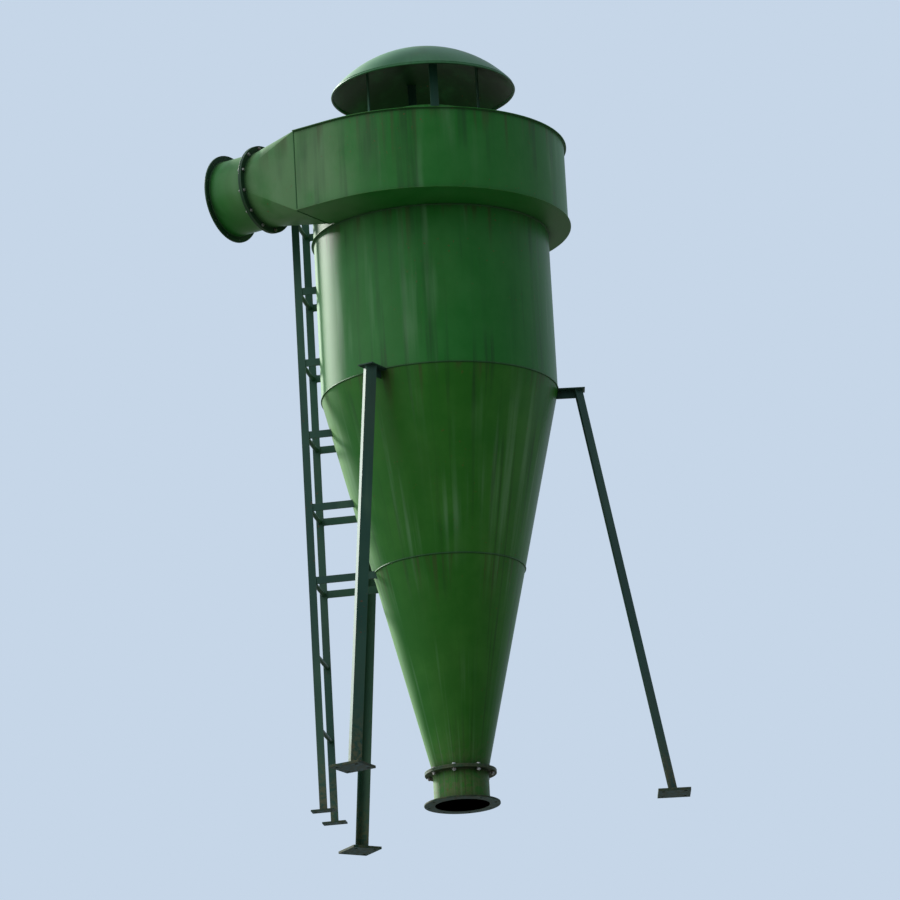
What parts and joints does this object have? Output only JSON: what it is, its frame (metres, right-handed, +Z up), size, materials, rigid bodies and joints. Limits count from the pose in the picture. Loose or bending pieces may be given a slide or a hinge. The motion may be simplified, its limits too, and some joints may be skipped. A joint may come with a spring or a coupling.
{
  "type": "cyclone separator",
  "caption": "Sheet-steel dust cyclone with a side scroll inlet, long cone, domed rain cap, splayed legs and a fixed ladder.",
  "frame": {"origin": "middle of the dust outlet at floor level, on the axis of the barrel and cone", "axes": "+Z up along the axis; air enters along +X on the -Y side and turns anticlockwise seen from above"},
  "size_m": [1.8758, 1.69, 3.65],
  "materials": {
    "body_paint": "weathered green paint on rolled sheet steel",
    "cone_paint": "weathered green paint, a little more olive",
    "cap_paint": "sun-bleached green paint",
    "flange_paint": "dark green paint",
    "frame_paint": "dark green paint on steel angle and flat bar"
  },
  "bodies": {
    "root": {"base_flange": "flange_paint", "discharge_pipe": "cone_paint", "discharge_flange": "flange_paint", "cone_outlet_flange": "flange_paint", "cone_lower": "cone_paint", "cone_upper": "cone_paint", "barrel": "body_paint", "scroll_floor": "body_paint", "scroll_wall": "body_paint", "scroll_roof": "body_paint", "inlet_transition": "body_paint", "transition_flange": "flange_paint", "collar_flange": "flange_paint", "inlet_collar": "body_paint", "inlet_flange": "flange_paint", "outlet_pipe": "body_paint", "neck_flange": "flange_paint", "rain_cap": "cap_paint", "cap_strut_1": "frame_paint", "cap_strut_2": "frame_paint", "cap_strut_3": "frame_paint", "cap_strut_4": "frame_paint", "leg_1": "frame_paint", "leg_2": "frame_paint", "leg_3": "frame_paint", "leg_bracket_1": "frame_paint", "leg_bracket_2": "frame_paint", "leg_bracket_3": "frame_paint", "foot_plate_1": "frame_paint", "foot_plate_2": "frame_paint", "foot_plate_3": "frame_paint", "ladder_left_rail": "frame_paint", "ladder_right_rail": "frame_paint", "ladder_rungs": "frame_paint", "ladder_left_arms": "frame_paint", "ladder_right_arms": "frame_paint", "ladder_feet": "frame_paint"}
  },
  "joints": []
}
